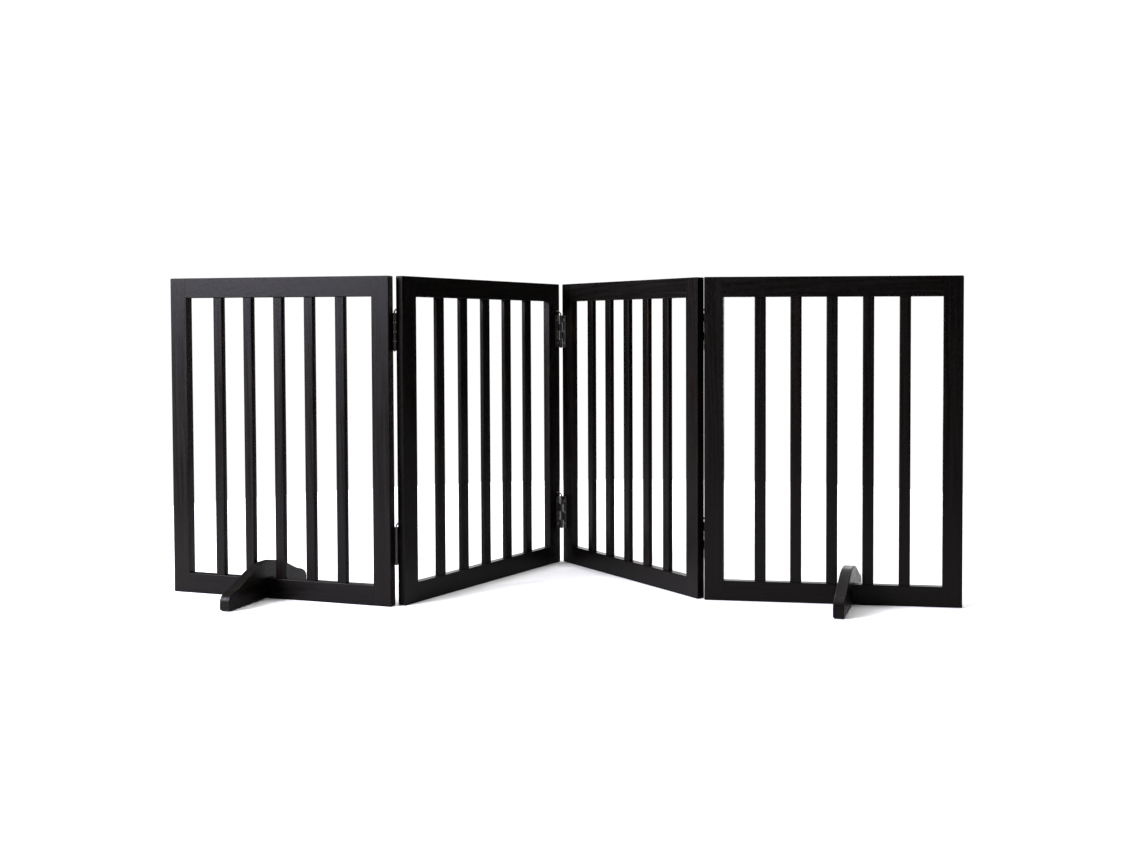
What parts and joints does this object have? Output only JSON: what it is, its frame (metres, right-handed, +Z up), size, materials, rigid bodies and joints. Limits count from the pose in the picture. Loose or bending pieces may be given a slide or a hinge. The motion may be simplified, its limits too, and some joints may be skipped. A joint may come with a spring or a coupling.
{
  "type": "pet gate",
  "caption": "Free-standing folding pet gate: dark slatted wooden panels joined in a zig-zag by loose-pin hinges, with slotted support feet straddling the end panels.",
  "frame": {"origin": "on the floor, under the middle of the whole gate's bounding box as it stands in its zig-zag", "axes": "+Z up; +X along the gate from panel 1's free end to panel 4's; +Y towards the back, the side the far corner is on"},
  "size_m": [1.519, 0.534, 0.61],
  "materials": {
    "stained_wood": "espresso stain under satin lacquer, grain just showing",
    "hinge_steel": "dark bronze plated steel, satin, bright on the curls",
    "pin_steel": "dark plated wire, polished by handling",
    "foot_pad": "matt black foam rubber"
  },
  "bodies": {
    "panel_1": {"panel_1_left_stile": "stained_wood", "panel_1_right_stile": "stained_wood", "panel_1_top_rail": "stained_wood", "panel_1_bottom_rail": "stained_wood", "panel_1_bar_1": "stained_wood", "panel_1_bar_2": "stained_wood", "panel_1_bar_3": "stained_wood", "panel_1_bar_4": "stained_wood", "panel_1_bar_5": "stained_wood", "left_upper_hinge_left_leaf": "hinge_steel", "left_lower_hinge_left_leaf": "hinge_steel"},
    "panel_2": {"panel_2_left_stile": "stained_wood", "panel_2_right_stile": "stained_wood", "panel_2_top_rail": "stained_wood", "panel_2_bottom_rail": "stained_wood", "panel_2_bar_1": "stained_wood", "panel_2_bar_2": "stained_wood", "panel_2_bar_3": "stained_wood", "panel_2_bar_4": "stained_wood", "panel_2_bar_5": "stained_wood", "middle_upper_hinge_left_leaf": "hinge_steel", "middle_lower_hinge_left_leaf": "hinge_steel", "left_upper_hinge_right_leaf": "hinge_steel", "left_lower_hinge_right_leaf": "hinge_steel"},
    "panel_3": {"panel_3_left_stile": "stained_wood", "panel_3_right_stile": "stained_wood", "panel_3_top_rail": "stained_wood", "panel_3_bottom_rail": "stained_wood", "panel_3_bar_1": "stained_wood", "panel_3_bar_2": "stained_wood", "panel_3_bar_3": "stained_wood", "panel_3_bar_4": "stained_wood", "panel_3_bar_5": "stained_wood", "right_upper_hinge_left_leaf": "hinge_steel", "right_lower_hinge_left_leaf": "hinge_steel", "middle_upper_hinge_right_leaf": "hinge_steel", "middle_lower_hinge_right_leaf": "hinge_steel"},
    "panel_4": {"panel_4_left_stile": "stained_wood", "panel_4_right_stile": "stained_wood", "panel_4_top_rail": "stained_wood", "panel_4_bottom_rail": "stained_wood", "panel_4_bar_1": "stained_wood", "panel_4_bar_2": "stained_wood", "panel_4_bar_3": "stained_wood", "panel_4_bar_4": "stained_wood", "panel_4_bar_5": "stained_wood", "right_upper_hinge_right_leaf": "hinge_steel", "right_lower_hinge_right_leaf": "hinge_steel"},
    "left_upper_pin": {"left_upper_hinge_pin": "pin_steel"},
    "left_lower_pin": {"left_lower_hinge_pin": "pin_steel"},
    "middle_upper_pin": {"middle_upper_hinge_pin": "pin_steel"},
    "middle_lower_pin": {"middle_lower_hinge_pin": "pin_steel"},
    "right_upper_pin": {"right_upper_hinge_pin": "pin_steel"},
    "right_lower_pin": {"right_lower_hinge_pin": "pin_steel"},
    "left_foot": {"left_foot": "stained_wood", "left_foot_front_pad": "foot_pad", "left_foot_back_pad": "foot_pad"},
    "right_foot": {"right_foot": "stained_wood", "right_foot_front_pad": "foot_pad", "right_foot_back_pad": "foot_pad"}
  },
  "joints": [
    {"name": "left_fold", "type": "hinge", "parent": "panel_2", "child": "panel_1", "pos_m": [-0.28394, -0.18111, 0.305], "axis": [0, 0, -1], "range_deg": [-78.5, 80]},
    {"name": "middle_fold", "type": "hinge", "parent": "panel_2", "child": "panel_3", "pos_m": [-0.07885, 0.25392, 0.305], "axis": [0, 0, -1], "range_deg": [-112.5, 68.5]},
    {"name": "right_fold", "type": "hinge", "parent": "panel_3", "child": "panel_4", "pos_m": [0.27992, -0.0664, 0.305], "axis": [0, 0, 1], "range_deg": [-42.5, 115.5]},
    {"name": "left_upper_pin_lift", "type": "slide", "parent": "panel_2", "child": "left_upper_pin", "axis": [0, 0, 1], "range_m": [0, 0.075]},
    {"name": "left_lower_pin_lift", "type": "slide", "parent": "panel_2", "child": "left_lower_pin", "axis": [0, 0, 1], "range_m": [0, 0.075]},
    {"name": "middle_upper_pin_lift", "type": "slide", "parent": "panel_2", "child": "middle_upper_pin", "axis": [0, 0, 1], "range_m": [0, 0.075]},
    {"name": "middle_lower_pin_lift", "type": "slide", "parent": "panel_2", "child": "middle_lower_pin", "axis": [0, 0, 1], "range_m": [0, 0.075]},
    {"name": "right_upper_pin_lift", "type": "slide", "parent": "panel_3", "child": "right_upper_pin", "axis": [0, 0, 1], "range_m": [0, 0.075]},
    {"name": "right_lower_pin_lift", "type": "slide", "parent": "panel_3", "child": "right_lower_pin", "axis": [0, 0, 1], "range_m": [0, 0.075]},
    {"name": "left_foot_lift", "type": "slide", "parent": "panel_1", "child": "left_foot", "axis": [0, 0, 1], "range_m": [0, 0.045]},
    {"name": "right_foot_lift", "type": "slide", "parent": "panel_4", "child": "right_foot", "axis": [0, 0, 1], "range_m": [0, 0.045]}
  ]
}
